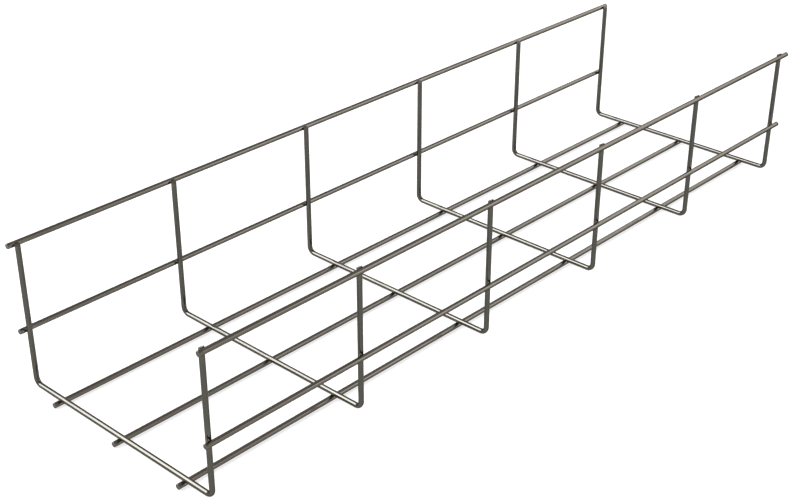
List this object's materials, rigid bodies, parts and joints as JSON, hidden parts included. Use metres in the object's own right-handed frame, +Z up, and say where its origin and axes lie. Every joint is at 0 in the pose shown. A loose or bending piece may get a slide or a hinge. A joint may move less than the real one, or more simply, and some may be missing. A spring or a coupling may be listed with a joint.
{
  "type": "wire mesh cable basket",
  "caption": "Open trough for cables: straight round steel wires welded to the outside of U-shaped cross wires, in a long rectangular mesh with plain cut ends.",
  "frame": {"origin": "middle of the footprint, on the level surface that the three floor wires lie on", "axes": "+X along the trough, +Y across it towards the back wall, +Z up"},
  "size_m": [0.509, 0.15, 0.088],
  "materials": {
    "bent_wire": "smooth drawn steel, dark olive grey",
    "straight_wire": "satin drawn steel, warm brown grey"
  },
  "bodies": {
    "root": {"cross_wire_1": "bent_wire", "cross_wire_2": "bent_wire", "cross_wire_3": "bent_wire", "cross_wire_4": "bent_wire", "cross_wire_5": "bent_wire", "cross_wire_6": "bent_wire", "floor_wire_front": "straight_wire", "floor_wire_centre": "straight_wire", "floor_wire_back": "straight_wire", "side_wire_front": "straight_wire", "side_wire_back": "straight_wire", "rim_wire_front": "straight_wire", "rim_wire_back": "straight_wire"}
  },
  "joints": []
}
